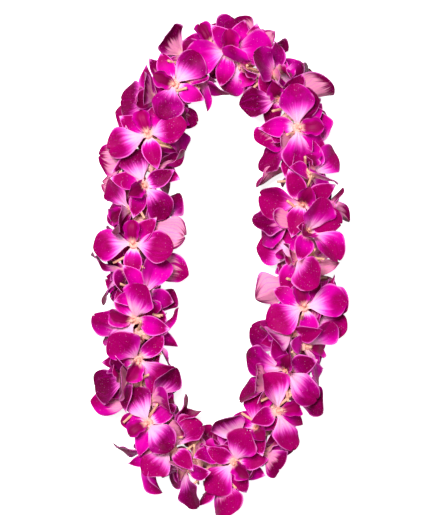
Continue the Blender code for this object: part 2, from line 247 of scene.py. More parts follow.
class LeiColours(bpy.types.PropertyGroup):
    """Colours of the lei."""

    heart: colour("Petal heart", 156, 0, 88, "Red magenta in the upper middle of a petal")
    flush: colour("Petal flush", 212, 0, 160, "Violet pink towards a petal's root and margins")
    # Painted shade: maroon laid over blades picked at random, so that they look as if they lay in shadow.
    shade: colour("Petal shade", 92, 0, 44, "Maroon of the darkest petals")
    glow: colour("Petal glow", 246, 66, 206, "Hot pink between a blade's pale root and its colour")
    pale: colour("Petal root", 255, 188, 228, "Pale pink at a blade's root and at a sepal's tip")
    rim: colour("Rim", 255, 136, 226, "Light pink of a blade's rim")
    back: colour("Petal back", 244, 152, 188, "Pink of a blade's back")
    # Painted highlights: light specks that stand for the glints of dew drops.
    dew_glint: colour("Dew", 255, 170, 226, "Light specks of dew")
    neck: colour("Neck", 255, 200, 188, "Peach pink of the neck and throat")
    crease: colour("Crease", 204, 112, 108, "Brown of the neck's creases and the stem's bark")
    column: colour("Column", 244, 184, 160, "Cream of the column")
    stem: colour("Stem", 255, 206, 168, "Tan of the cut stems")
    string: colour("String", 232, 226, 208, "Undyed cotton")
    string_shade: colour("String shade", 178, 160, 130, "Darker fibres of the cotton")
    floor: colour("Floor", 246, 246, 246, "The pale floor")
    floor_grain: colour("Floor grain", 235, 235, 235, "The floor's faint grain")


class Value:
    """A number or colour in a material. Sums written on a number add Math nodes."""

    def __init__(self, finish, socket):
        self.finish = finish
        self.socket = socket

    def sum(self, operation, first, second):
        return self.finish.add("Math", {"operation": operation}, {0: first, 1: second})

    def __add__(self, other):
        return self.sum("ADD", self, other)

    def __sub__(self, other):
        return self.sum("SUBTRACT", self, other)

    def __rsub__(self, other):
        return self.sum("SUBTRACT", other, self)

    def __mul__(self, other):
        return self.sum("MULTIPLY", self, other)

    def __abs__(self):
        return self.sum("ABSOLUTE", self, 0.0)

    __radd__ = __add__
    __rmul__ = __mul__


class Finish:
    """A material, and the nodes that give its colour and relief."""

    def __init__(self, name, **constants):
        self.material = bpy.data.materials.new(name)
        self.material.use_nodes = True
        self.tree = self.material.node_tree
        self.shader = self.tree.nodes["Principled BSDF"]
        for socket, value in constants.items():
            self.shader.inputs[socket.replace("_", " ")].default_value = value

    def add(self, kind, settings=None, sockets=None, out=0):
        """Adds a node and returns its output."""
        node = self.tree.nodes.new("ShaderNode" + kind)
        for name, value in (settings or {}).items():
            setattr(node, name, value)
        for name, value in (sockets or {}).items():
            self.feed(node.inputs[name], value)
        return Value(self, node.outputs[out])

    def feed(self, socket, value):
        """Links a value to the socket, or sets it there if it is plain numbers."""
        if isinstance(value, Value):
            self.tree.links.new(value.socket, socket)
        elif socket.type == "RGBA" and len(value) == 3:
            socket.default_value = (*value, 1)
        else:
            socket.default_value = value

    def attribute(self, name):
        """The three numbers of a vector attribute."""
        vector = self.add("Attribute", {"attribute_name": name}, out="Vector")
        split = self.add("SeparateXYZ", sockets={0: vector}).socket.node
        return [Value(self, out) for out in split.outputs]

    def vector(self, *numbers):
        return self.add("CombineXYZ", sockets=dict(enumerate(numbers)))

    def here(self):
        return self.add("TexCoord", out="Object")

    def noise(self, vector, scale=1.0, detail=2.0):
        return self.add("TexNoise", sockets={"Vector": vector, "Scale": scale, "Detail": detail})

    def rise(self, value, low, high):
        """0 below low and 1 above high, with a smooth rise between."""
        return self.add("MapRange", {"interpolation_type": "SMOOTHSTEP"},
                        {"Value": value, "From Min": low, "From Max": high})

    def mixed(self, amount, first, second):
        return self.add("Mix", {"data_type": "RGBA"}, {0: amount, 6: first, 7: second}, out=2)

    def done(self, colour, relief=None, strength=0.3, distance=0.0004):
        """Joins the colour, and the relief if there is one, to the shader."""
        self.feed(self.shader.inputs["Base Color"], colour)
        if relief is not None:
            bump = self.add("Bump", sockets={"Strength": strength, "Distance": distance, "Height": relief})
            self.feed(self.shader.inputs["Normal"], bump)
        return self.material


class BladeFinish(Finish):
    """The finish of a petal, sepal or lip. It follows the place on the blade and the bloom's own numbers."""

    def __init__(self, name, colours, fan_across, fan_along, gloss):
        super().__init__(name, Roughness=0.45, Specular_IOR_Level=gloss)
        self.colours = colours
        self.along, self.across, self.side = self.attribute("place")
        # The second own number is how much painted shade darkens the blade.
        self.tint, self.deep, self.fade = self.attribute("own")
        self.edge = abs(self.across)
        fan = self.vector(self.across * fan_across, self.along * fan_along, self.tint * TINT_STEP)
        self.streaks = self.noise(fan, detail=4.0)

    def patches(self, along_scale, across_scale):
        """Soft patches along the blade."""
        spot = self.vector(self.along * along_scale, self.across * across_scale, self.tint * TINT_STEP)
        return self.noise(spot, detail=1.0)

    def veined(self, closeness):
        """The pink of the back, with thin hot pink lines that fan out along it and wander a little."""
        wander = self.patches(3.0, 1.5)
        turns = (self.across + (wander - 0.5) * 0.5) * closeness
        lines = self.rise(self.add("Math", {"operation": "SINE"}, {0: turns}), 0.55, 1.0)
        return self.mixed(lines * 0.35, self.colours.back, self.colours.glow)

    def rimmed(self, blade):
        """The blade's colour with the light rim on it: all along the cut edge, and in patches beside it."""
        patch = self.patches(5.0, 0.8)
        beside = self.rise(self.edge, 0.88, 0.99) * self.rise(patch, 0.42, 0.60) * 0.7
        cut = (1 - self.rise(abs(self.side), 0.80, 0.98)) * 0.6
        shown = self.add("Math", {"operation": "MAXIMUM"}, {0: beside, 1: cut})
        return self.mixed(shown, blade, self.colours.rim)

    def glinted(self, blade):
        """The blade's colour with its fine grain and painted highlights, light specks that stand for the
        glints of dew drops, and where the specks are.
        """
        cells = self.add("TexVoronoi", {"feature": "F1"}, {"Vector": self.here(), "Scale": GLINT_SCALE})
        cell_colour = Value(self, cells.socket.node.outputs["Color"])
        chance = self.add("SeparateColor", sockets={0: cell_colour})
        speck = (1 - self.rise(cells, 0.06, 0.24)) * self.rise(chance, 0.50, 0.95)
        grain = self.noise(self.here(), GRAIN_SCALE)
        grained = self.mixed(self.rise(grain, 0.50, 0.80) * 0.35, blade, self.colours.flush)
        grained = self.mixed(self.rise(1 - grain, 0.50, 0.80) * 0.20, grained, self.colours.heart)
        # Painted highlights: the specks lighten the blade towards the dew glint colour.
        return self.mixed(speck * 0.45, grained, self.colours.dew_glint), speck

    def closed(self, front, bands, veins):
        """The material of a petal or sepal with that front: its back, root, rim, grain and painted dew
        glints.
        """
        streaked = self.along + (self.streaks - 0.5) * 0.7
        coloured = streaked - (self.fade - 0.5) * 1.2 + self.edge * self.edge * 0.2
        back = self.mixed(self.rise(coloured, *bands["back"]), self.veined(veins), front)
        blade = self.mixed(self.rise(self.side, *FRONT), back, front)
        rooted = self.along + (self.streaks - 0.5) * 0.2 + self.side * 0.05
        blade = self.mixed(self.rise(rooted, *bands["neck"]), self.colours.neck, blade)
        glinting, speck = self.glinted(self.rimmed(blade))
        return self.done(glinting, self.streaks * 0.6 + speck * 0.8, 0.35)


def petal_finish(colours):
    """Pale root, hot pink, then violet pink with a crimson heart, and maroon painted shade on blades picked
    at random.
    """
    finish = BladeFinish("Petal", colours, 7.0, 0.9, gloss=0.02)
    bands = PETAL_BANDS
    clouds = finish.noise(finish.here(), 70.0) - 0.5
    spread = finish.along + (finish.streaks - 0.5) * 0.34 + (finish.fade - 0.5) * 0.40
    heart = finish.along + clouds * 0.5 + (finish.tint - 0.5) * 0.8 - finish.edge * finish.edge * 0.35
    front = finish.mixed(finish.rise(heart, *bands["heart"]), colours.flush, colours.heart)
    # Painted shade: blades with a high second own number are darkened towards maroon as if in shadow.
    shaded = finish.rise(finish.deep + clouds * 0.4, *bands["shade"]) * 0.85
    front = finish.mixed(shaded, front, colours.shade)
    front = finish.mixed(finish.rise(finish.streaks, 0.52, 0.75) * 0.25, front, colours.flush)
    front = finish.mixed(finish.rise(spread, *bands["glow"]), colours.glow, front)
    front = finish.mixed(finish.rise(spread, *bands["pale"]), colours.pale, front)
    return finish.closed(front, bands, veins=28.6)


def sepal_finish(colours):
    """Like a petal, but pale at the tip and along the margins too."""
    finish = BladeFinish("Sepal", colours, 4.0, 0.9, gloss=0.02)
    bands = SEPAL_BANDS
    wander = (finish.streaks - 0.5) * 0.36
    tipped = finish.rise(finish.along + wander * 0.5, *bands["tip"]) * finish.rise(finish.fade, 0.15, 0.45)
    ends = finish.rise(finish.along + wander, *bands["root"]) * (1 - tipped * 0.85)
    banded = ends * (1 - finish.rise(finish.edge + wander * 0.3, 0.76, 1.02) * 0.55)
    hearted = finish.rise(finish.along + (finish.tint - 0.5) * 0.8, *bands["heart"])
    heart = finish.mixed(hearted, colours.flush, colours.heart)
    # Painted shade: maroon over sepals with a high second own number, as if in shadow.
    heart = finish.mixed(finish.rise(finish.deep, *bands["shade"]) * 0.7, heart, colours.shade)
    front = finish.mixed(finish.rise(banded, 0.35, 1.0), colours.glow, heart)
    front = finish.mixed(finish.rise(banded, 0.0, 0.65), colours.pale, front)
    return finish.closed(front, bands, veins=17.6)


def lip_finish(colours):
    """Crimson inside, darkened towards maroon by painted shade on lips picked at random, violet pink at the
    margins, and peach in the throat and behind.
    """
    finish = BladeFinish("Lip", colours, 6.0, 1.2, gloss=0.06)
    bands = LIP_BANDS
    wander = (finish.streaks - 0.5) * 0.4
    # Painted shade: the lip's crimson darkened towards maroon by its second own number.
    deep = finish.mixed(finish.rise(finish.deep, *bands["shade"]) * 0.7, colours.heart, colours.shade)
    inside = finish.mixed(finish.rise(finish.edge + wander, *bands["margin"]), deep, colours.flush)
    inside = finish.mixed(finish.rise(finish.along + wander, *bands["neck"]), colours.neck, inside)
    back = finish.mixed(finish.rise(finish.along, *bands["back"]), colours.neck, colours.heart)
    blade = finish.mixed(finish.rise(finish.side, *FRONT), back, inside)
    return finish.done(finish.rimmed(blade), finish.streaks, 0.5)


def neck_finish(colours):
    """Peach skin with pink blotches and brown creases. The place on it is in millimetres."""
    finish = Finish("Neck", Roughness=0.5, Specular_IOR_Level=0.08)
    x, y, height = finish.attribute("place")
    tint, _, fade = finish.attribute("own")
    folds = finish.noise(finish.vector(x * 0.5, y * 0.5, height * 0.07 + tint * TINT_STEP), detail=3.0)
    creased = 1 - finish.rise(abs(folds - 0.5), 0.0, 0.07)
    blotch = finish.noise(finish.here(), 160.0)
    skin = finish.mixed(finish.rise(blotch + fade * 0.2, 0.45, 0.85) * 0.5, colours.neck, colours.back)
    skin = finish.mixed(creased * 0.6, skin, colours.crease)
    skin = finish.mixed(finish.rise(height, 8.0, 10.5) * 0.5, skin, colours.column)
    return finish.done(skin, folds - creased * 0.5, 0.6)


def column_finish(colours):
    finish = Finish("Column", Roughness=0.5, Specular_IOR_Level=0.05)
    spots = finish.noise(finish.here(), 500.0)
    flushed = finish.mixed(finish.rise(spots, 0.45, 0.7) * 0.4, colours.column, colours.back)
    return finish.done(flushed, spots)


def stem_finish(colours):
    finish = Finish("Stem", Roughness=0.5, Specular_IOR_Level=0.4)
    x, y, height = finish.attribute("place")
    grain = finish.noise(finish.vector(x * 1.5, y * 1.5, height * 0.003), detail=3.0)
    bark = finish.mixed(finish.rise(grain, 0.42, 0.62) * 0.7, colours.stem, colours.crease)
    return finish.done(bark, grain, 0.5)


def string_finish(colours):
    finish = Finish("Cotton string", Roughness=0.9, Sheen_Weight=0.4, Specular_IOR_Level=0.2)
    fibres = finish.noise(finish.here(), 2600.0, 3.0)
    return finish.done(finish.mixed(fibres * 0.5, colours.string, colours.string_shade), fibres, 0.6, 0.0002)


def floor_finish(colours):
    finish = Finish("Floor", Roughness=0.7, Specular_IOR_Level=0.2, Emission_Color=(1, 1, 1, 1),
                    Emission_Strength=FLOOR_GLOW)
    grain = finish.noise(finish.here(), 300.0)
    return finish.done(finish.mixed(grain * 0.04, colours.floor, colours.floor_grain))


def times(amounts, vectors):
    """Each vector times its own amount."""
    return np.asarray(amounts)[..., None] * vectors


def hump(values, middle, spread):
    """1 at the middle, and falling away on both sides of it."""
    return np.exp(-((values - middle) / spread) ** 2)


def past(values, start):
    """0 up to the start, and then rising evenly to 1 at 1."""
    return ((values - start) / (1 - start)).clip(0, 1)


class Loop:
    """The smooth closed line of the string, measured along its length."""

    STEPS = 24

    def __init__(self, route, height):
        corners = [Vector((x, y, height)) for x, y in route]
        self.points = []
        for i in range(len(corners)):
            before, start, end, after = (corners[(i + k) % len(corners)] for k in (-1, 0, 1, 2))
            for step in range(self.STEPS):
                t = step / self.STEPS
                self.points.append(0.5 * (2 * start + (end - before) * t
                                          + (2 * before - 5 * start + 4 * end - after) * t**2
                                          + (3 * start - before - 3 * end + after) * t**3))
        self.marks = [0.0]
        for here, there in zip(self.points, self.points[1:] + self.points[:1]):
            self.marks.append(self.marks[-1] + (there - here).length)
        self.length = self.marks[-1]

    def at(self, distance):
        """The point of the line at that distance."""
        distance %= self.length
        i = next(k for k in range(len(self.points)) if self.marks[k + 1] >= distance)
        start, end = self.points[i], self.points[(i + 1) % len(self.points)]
        return start.lerp(end, (distance - self.marks[i]) / (self.marks[i + 1] - self.marks[i]))


class Quirks:
    """How much one blade has of each way in which the blades differ."""

    def __init__(self, draw):
        self.notch = max(0, draw.uniform(-1, 1))
        self.phase = draw.uniform(0, 2 * math.pi)
        self.wave = draw.uniform(0, 2 * math.pi)
        self.lopsided = draw.uniform(-1, 1)
        self.pointed = draw.uniform(0.3, 1)
        self.curl = draw.uniform(-1, 1)
        self.tip = draw.uniform(-1, 1)
        self.fold = draw.uniform(-0.3, 1)
        self.bow = draw.uniform(-1, 1)
        self.waves = draw.uniform(0.7, 1.3)
        self.cup = draw.uniform(-1, 1)


class Blade:
    """One petal, sepal or lip: a surface that arches out of the throat."""

    def __init__(self, shape, points_to, cupped, bloom, upper):
        self.shape = shape
        self.raised = shape["raised"] + shape["shut"] * (1 - abs(bloom.face.z))
        self.margin = shape["margin"] + shape["cup"] * cupped
        self.face = np.array(bloom.face)
        out = Matrix.Rotation(math.radians(points_to), 3, bloom.face) @ upper
        self.out = np.array(out)
        self.level = np.array(bloom.face.cross(out))
        self.seat = np.array(bloom.throat + bloom.face * shape["seat"])
        self.size = bloom.size
        self.way = None

    def half(self, share):
        """Half the width of the blade, shortened to that share of its length."""
        return self.shape["half"] * self.size * (SLIMMEST + (1 - SLIMMEST) * share)

    def width(self, share, along):
        """Half the blade's width at those places along it."""
        power = math.log(0.5) / math.log(self.shape["widest"])
        bluntness = self.shape["root_blunt"] * (1 - along) + self.shape["tip_blunt"] * along
        return self.half(share) * np.sin(np.pi * along**power).clip(0) ** bluntness

    def midline(self, way, along):
        """Points of the blade's middle, with the directions across it and out of its front. way is how the
        blade is bent, and may hold columns, which give several forms."""
        raise_by, swing, arch_by, twist, share = way
        raised = np.radians(self.raised + raise_by)
        arch = np.radians(self.shape["arch"] + arch_by)
        reach = self.shape["length"] * self.size * share / arch
        angle = raised - arch * along
        turned = np.radians(twist) * (along / TWISTED).clip(0, 1)
        swing = np.radians(swing)
        out = times(np.cos(swing), self.out) + times(np.sin(swing), self.level)
        level = times(np.cos(swing), self.level) - times(np.sin(swing), self.out)
        upright = times(np.cos(angle), self.face) - times(np.sin(angle), out)
        crosswise = times(np.cos(turned), level) + times(np.sin(turned), upright)
        normal = times(np.cos(turned), upright) - times(np.sin(turned), level)
        middle = (self.seat + times(BLADE_ROOT + reach * (np.sin(raised) - np.sin(angle)), out)
                  + times(reach * (np.cos(angle) - np.cos(raised)), self.face))
        return middle, crosswise, normal

    def plain(self, way, along, across, side):
        """Points of the CAD blade. across runs from one margin at -1 to the other at 1, and side from the
        back at -1 to the front at 1."""
        middle, crosswise, normal = self.midline(way, along)
        wide = self.width(way[4], along)
        lift = self.margin * wide / self.half(way[4]) * across**2 + side * BLADE_THICKNESS / 2
        spots = middle + times(across * wide, crosswise) + times(lift, normal)
        spots[..., 2] = np.maximum(spots[..., 2], np.where(side * normal[..., 2] > 0, BLADE_THICKNESS, 0.0))
        return spots

    def fine(self, place, sizes, own):
        """Points of the finished blade, at each place along, across and side. own is the blade's quirks."""
        along, across, side = place.T
        look = LOOKS[self.shape["kind"]]
        dip = look["notch"] * own.notch * hump(across, 0, 0.35) * past(along, 0.75) ** 2
        middle, crosswise, normal = self.midline(self.way, along - dip)
        wide = self.fine_width(along, across, look, own)
        full = wide / (self.shape["half"] * self.size)
        upright = 1 + UPRIGHT_CURL * (1 - np.abs(normal[..., 2]))
        lift = full * self.fine_bend(along, across, look, own, upright)
        lift = lift + self.fine_relief(along, across, look, own, full * sizes.ruffle)
        thicker_root = 1.5 - 0.5 * np.minimum(1, along / 0.3)
        thick = sizes.thickness / 2 * thicker_root * (1 - 0.45 * across**2)
        aside = across * wide + look["bow"] * own.bow * np.sin(np.pi * along)
        spots = middle + times(aside, crosswise) + times(lift + side * thick, normal)
        under = np.where(side * normal[..., 2] > 0, sizes.thickness, 0.0)
        spots[..., 2] = np.maximum(spots[..., 2], under + FLOOR_GAP)
        return spots

    def fine_width(self, along, across, look, own):
        """Half the finished blade's width, with its claw, tip, waist and uneven outline."""
        wide = self.width(self.way[4], along ** look["fan"]) * look["slim"]
        wide = np.maximum(wide, look["claw"] * (1 - along))
        wide = wide * (1 - past(along, self.shape["widest"])) ** (look["point"] * own.pointed)
        uneven = look["uneven"] * np.sin(7 * along + own.phase + 2 * across)
        wide = wide * (1 + look["skew"] * own.lopsided * across + uneven)
        return wide * (1 - look["waist"] * hump(along, 0.52, 0.10))

    def fine_bend(self, along, across, look, own, upright):
        """How far the finished blade is cupped, folded, curled along one margin and rolled back, at full
        width."""
        edge = np.abs(across)
        cup = (self.margin + look["cup"] * own.cup) * across**2
        fold = look["fold"] * own.fold * edge**1.2
        one_margin = (math.copysign(1, own.curl) * across - 0.25).clip(0) ** 2
        curl = look["curl"] * (abs(own.curl) - 0.3) * upright * one_margin * np.sin(np.pi * along)
        return cup + fold + curl - look["roll"] * past(edge, 0.7) ** 2

    def fine_relief(self, along, across, look, own, ruffle):
        """The ruffled margins, the groove, the pleats near the root and the bent tip."""
        turns = look["waves"] * own.waves * along + own.wave + 1.6 * np.sign(across)
        ruffled = look["ruffle"] * ruffle * np.abs(across) ** 3 * np.sin(turns)
        groove = look["groove"] * hump(across, 0, 0.10)
        pleat = look["pleat"] * np.cos(9 * across + own.phase) * (1 - along)
        tip = look["tip"] * own.tip * past(along, 0.70) ** 2
        return ruffled + (pleat - groove) * np.sin(np.pi * along) + tip


class Bloom:
    """One bloom across the string, with the blades that its CAD solid has."""

    def __init__(self, start, end, pair, side):
        draw = random.Random(SEED + 1000 * pair + side)
        self.line = (end - start).normalized()
        self.spot = (start + end) / 2 + self.line * PAIR_SPACING * (side - 0.5)
        turned = pair * PAIR_TURN + math.pi * side + draw.uniform(-1, 1) * TURN_SPREAD
        straight_out = Matrix.Rotation(turned, 3, self.line) @ UP
        lean = draw.uniform(-1, 1) * LEAN_SPREAD
        self.face = Matrix.Rotation(lean, 3, straight_out.cross(self.line)) @ straight_out
        self.roll = draw.choice((0, math.pi)) + draw.uniform(-1, 1) * ROLL_SPREAD
        self.size = 1 + draw.uniform(-1, 1) * SIZE_SPREAD
        self.throat = self.spot + self.face * THROAT_HEIGHT
        self.cups = [draw.uniform(-1, 1) for _ in BLADES]
        self.draw = draw
        self.blades = []
        self.upper = None

    def rolled(self, roll_by):
        """The way the upper sepal points, with the bloom rolled about its face by that many degrees more."""
        flat = (self.line - self.face * self.line.dot(self.face)).normalized()
        return Matrix.Rotation(self.roll + math.radians(roll_by), 3, self.face) @ flat

    def move(self, shift):
        self.spot = self.spot + shift
        self.throat = self.throat + shift

    def read(self, corners, ways):
        """Finds how the bloom's blades are bent and which there are, from the corners of its CAD node."""
        for roll in ROLLS:
            upper = self.rolled(roll)
            found = []
            for k, (shape, points_to) in enumerate(BLADES):
                blade = Blade(shape, points_to, self.cups[k], self, upper)
                blade.way = bent_as(blade, corners, ways)
                if blade.way is not None:
                    found.append(blade)
            if len(found) > len(self.blades):
                self.blades, self.upper = found, upper
            if len(self.blades) >= ENOUGH_BLADES:
                return

    def matrix(self):
        """From a model's frame, with Z out of the face and X along the upper sepal, to the bloom's."""
        across = self.face.cross(self.upper)
        return Matrix.Translation(self.spot) @ Matrix((self.upper, across, self.face)).transposed().to_4x4()


def meets(spots, corners):
    """Whether each spot lies on a corner."""
    flat = spots.reshape(-1, 3)
    apart = (flat**2).sum(1)[:, None] + (corners**2).sum(1)[None, :] - 2 * flat @ corners.T
    return (apart.min(1) < SAME_POINT**2).reshape(spots.shape[:-1])


def bent_as(blade, corners, ways):
    """The way of bending that puts the CAD blade's tip and rings on those corners, or None."""
    untwisted = ways[ways[:, 3] == 0]
    tips = blade.plain(untwisted.T[:, :, None], np.ones(1), np.zeros(1), np.zeros(1))[:, 0]
    rows = untwisted[meets(tips, corners)]
    if not len(rows):
        return None
    rows = np.repeat(rows, len(TWISTS), 0)
    rows[:, 3] = np.tile(TWISTS, len(rows) // len(TWISTS))
    along = np.repeat(blade.shape["rings"], len(RING))
    across, side = np.tile(np.array(RING, float), (len(blade.shape["rings"]), 1)).T
    hits = meets(blade.plain(rows.T[:, :, None], along, across, side), corners).mean(-1)
    return tuple(rows[hits.argmax()]) if hits.max() > MOST_HITS else None


def rows_of(data, name):
    """The three numbers that each item of a mesh's data has under that name, as rows."""
    flat = np.empty(len(data) * 3, np.float32)
    data.foreach_get(name, flat)
    return flat.reshape(-1, 3).astype(float)


def points_of(model):
    return rows_of(model.data.vertices, "co")


def node_name(pair):
    return f"bloom_pair_{pair + 1:02d}"


def laid_blooms():
    """The string's corners and the blooms, moved as the CAD part was when it was centred. The end of each
    column is a corner of its node, which gives the move."""
    loop = Loop(STRING_ROUTE, STRING_HEIGHT)
    corners = [loop.at(loop.length * pair / PAIR_COUNT) for pair in range(PAIR_COUNT + 1)]
    blooms = [Bloom(*corners[pair:pair + 2], pair, side) for pair in range(PAIR_COUNT) for side in (0, 1)]
    low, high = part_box("string")
    rough = (low + high) / 2 - (Vector(np.min(corners, 0)) + Vector(np.max(corners, 0))) / 2
    gaps = []
    for i, bloom in enumerate(blooms):
        gap = node_corners(i // 2) - np.array(bloom.spot + bloom.face * COLUMN_TOP)
        gaps.append(gap[((gap - np.array(rough)) ** 2).sum(1).argmin()])
    shift = Vector(np.median(gaps, 0))
    for bloom in blooms:
        bloom.move(shift)
    return [corner + shift for corner in corners], blooms


def node_corners(pair):
    """The corners of a pair's CAD node, each once."""
    return np.unique(points_of(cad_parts[node_name(pair)]).round(6), axis=0)


def read_blooms():
    """The blooms, with the blades that their CAD nodes have."""
    _, blooms = laid_blooms()
    ways = np.array([(raise_by, swing, arch_by, twist, share) for share in SHARES for raise_by in RAISES
                     for swing in SWINGS for arch_by in ARCHES for twist in TWISTS], float)
    for i, bloom in enumerate(blooms):
        bloom.read(node_corners(i // 2), ways)
    if any(bloom.upper is None for bloom in blooms):
        raise RuntimeError("a CAD bloom has no blade that is bent in a known way")
    return blooms


def marked(model, name, values):
    """Writes a vector attribute on the model's points."""
    data = model.data.attributes.get(name) or model.data.attributes.new(name, "FLOAT_VECTOR", "POINT")
    data.data.foreach_set("vector", np.asarray(values, np.float32).ravel())


def put(model, points):
    """Moves the model's points there."""
    model.data.vertices.foreach_set("co", np.asarray(points, np.float32).ravel())


def sheet_model(kind, material):
    """A flat blade, with its tip drawn to a point. Its place attribute runs along it from 0 to 1, across it
    from -1 to 1, and from its back at -1 to its front at 1."""
    look = LOOKS[kind]
    bpy.ops.object.select_all(action="DESELECT")
    bpy.ops.mesh.primitive_grid_add(x_subdivisions=look["rows"], y_subdivisions=look["columns"], size=2)
    sheet = bpy.context.object
    sheet.name = kind
    bpy.ops.object.mode_set(mode="EDIT")
    bpy.ops.mesh.select_all(action="DESELECT")
    bpy.ops.object.mode_set(mode="OBJECT")
    for vertex in sheet.data.vertices:
        vertex.select = vertex.co.x > 0.999
    bpy.ops.object.mode_set(mode="EDIT")
    bpy.ops.mesh.merge(type="CENTER")
    bpy.ops.object.mode_set(mode="OBJECT")
    wall = sheet.modifiers.new("Wall", "SOLIDIFY")
    wall.thickness = 2
    wall.offset = 0
    bpy.ops.object.modifier_apply(modifier=wall.name)
    bpy.ops.object.shade_smooth_by_angle(angle=math.radians(40))
    place = points_of(sheet)
    share = ((place[:, 0] + 1) / 2).clip(0, 1)
    place[:, 0] = 1 - (1 - share) ** ROW_CROWDING
    marked(sheet, "place", place)
    sheet.data.materials.append(material)
    return sheet


def turned_model(name, profile, sides, material, shaped=None):
    """A solid turned about Z, by extruding a ring of points up its profile, and then shaped. Its place
    attribute holds its points before that, in millimetres."""
    bpy.ops.object.select_all(action="DESELECT")
    (height, radius), *rest = profile
    bpy.ops.mesh.primitive_circle_add(vertices=sides, radius=radius, fill_type="TRIFAN",
                                      location=(0, 0, height))
    model = bpy.context.object
    model.name = name
    bpy.ops.object.transform_apply()
    bpy.ops.object.mode_set(mode="EDIT")
    bpy.ops.mesh.select_all(action="SELECT")
    for next_height, next_radius in rest:
        rise = (0, 0, next_height - height)
        bpy.ops.mesh.extrude_region_move(TRANSFORM_OT_translate={"value": rise})
        grow = next_radius / radius
        bpy.ops.transform.resize(value=(grow, grow, 1), center_override=(0, 0, next_height))
        height, radius = next_height, next_radius
    bpy.ops.mesh.select_all(action="SELECT")
    bpy.ops.mesh.normals_make_consistent(inside=False)
    bpy.ops.object.mode_set(mode="OBJECT")
    bpy.ops.object.shade_smooth()
    place = points_of(model)
    marked(model, "place", place * 1000)
    if shaped is not None:
        put(model, shaped(place))
    model.data.materials.append(material)
    return model


def creased_neck(place):
    """Folds the neck's wall into creases that wind a little, and draws its chin out under the lip."""
    x, y, height = place.T
    around = np.arctan2(y, x)
    fold = sum(depth * np.cos(count * around + wind * height) for depth, count, wind in NECK_CREASES)
    up = ((height - NECK_PROFILE[0][0]) / NECK_CREASED).clip(0, 1)
    keep = 1 + fold * np.sin(np.pi * up) ** 0.5
    chin = (-np.cos(around)).clip(0) ** 2 * hump(height, CHIN_HEIGHT, CHIN_SPREAD)
    return np.stack((x * keep * (1 - 0.12 * chin) - CHIN * chin, y * keep * (1 - 0.25 * chin), height), 1)


def bowed_column(place):
    """Bows the column towards the lip and hollows the side that faces it."""
    x, y, height = place.T
    up = ((height - COLUMN_PROFILE[0][0]) / COLUMN_BENT).clip(0, 1)
    hollow = np.where(x < 0, COLUMN_HOLLOW, 1.0) * up + (1 - up)
    return np.stack((x * hollow - COLUMN_BOW * up**2, y, height), 1)


def copied(model, points, own):
    """A copy of the model with its own mesh, its points put there and its own random numbers on it."""
    twin = model.copy()
    twin.data = model.data.copy()
    put(twin, points)
    marked(twin, "own", np.tile(own, (len(points), 1)))
    bpy.context.scene.collection.objects.link(twin)
    return twin


def joined(name, pieces):
    """One object of that name made of the pieces."""
    bpy.ops.object.select_all(action="DESELECT")
    for piece in pieces:
        piece.select_set(True)
    bpy.context.view_layer.objects.active = pieces[0]
    if len(pieces) > 1:
        bpy.ops.object.join()
    pieces[0].name = pieces[0].data.name = name
    return pieces[0]


def rounded(corners):
    """Points close together along the closed line through the corners, with each corner rounded."""
    points = []
    for i, corner in enumerate(corners):
        before, after = corners[i - 1], corners[(i + 1) % len(corners)]
        start, end = corner.lerp(before, 0.5), corner.lerp(after, 0.5)
        for k in range(STRING_PARTS):
            t = k / STRING_PARTS
            near = start.lerp(corner, min(1, 2 * t)) if t < 0.5 else corner.lerp(end, 2 * t - 1)
            bend = (1 - t) ** 2 * start + 2 * t * (1 - t) * corner + t**2 * end
            points.append(near.lerp(bend, 0.5))
    return points


def drawn(name, points, radius, closed):
    """A tube through the points, as a curve."""
    bpy.ops.object.select_all(action="DESELECT")
    curve = bpy.data.curves.new(name, "CURVE")
    curve.dimensions = "3D"
    curve.bevel_depth = radius
    curve.bevel_resolution = 2
    curve.use_fill_caps = not closed
    line = curve.splines.new("POLY")
    line.points.add(len(points) - 1)
    for point, spot in zip(line.points, points):
        point.co = (*spot, 1)
    line.use_cyclic_u = closed
    tube = bpy.data.objects.new(name, curve)
    bpy.context.scene.collection.objects.link(tube)
    return tube


def meshed(tube):
    bpy.context.view_layer.objects.active = tube
    tube.select_set(True)
    bpy.ops.object.convert(target="MESH")
    bpy.ops.object.shade_smooth()
    return tube


def plied(name, points, ply):
    """Two plies laid round each other: a two-lobed tube that turns along its length."""
    section = []
    for k in range(LOBE_POINTS):
        around = 2 * math.pi * k / LOBE_POINTS
        wide = ply * (1.05 + 0.85 * abs(math.cos(around)) ** 1.5)
        section.append((wide * math.cos(around), wide * math.sin(around), 0))
    lobes = drawn(name + "_lobes", section, 0, True)
    tube = drawn(name, points, 0, True)
    tube.data.bevel_mode = "OBJECT"
    tube.data.bevel_object = lobes
    tube.data.twist_mode = "Z_UP"
    for k, point in enumerate(tube.data.splines[0].points):
        point.tilt = 2 * math.pi * PLY_TURNS * k / len(points)
    made = meshed(tube)
    bpy.data.objects.remove(lobes)
    return made


def tied(name, middle, way, ply):
    """The knot and its two short cut ends."""
    way = way.normalized()
    side = way.cross(UP)
    loops = []
    for k in range(KNOT_POINTS):
        t = 2 * math.pi * k / KNOT_POINTS
        spot = way * (math.sin(t) + 2 * math.sin(2 * t)) + side * (math.cos(t) - 2 * math.cos(2 * t))
        loops.append(middle + (spot - UP * 1.4 * math.sin(3 * t)) * KNOT_SIZE)
    pieces = [meshed(drawn(name, loops, ply * 1.3, True))]
    for turn in (-1, 1):
        end = [middle + (way * turn * (0.2 + k * 0.35) + side * 0.16 * k - UP * 0.05 * k * k) * KNOT_END
               for k in range(8)]
        pieces.append(meshed(drawn(name + "_end", end, ply * 1.2, False)))
    return joined(name, pieces)


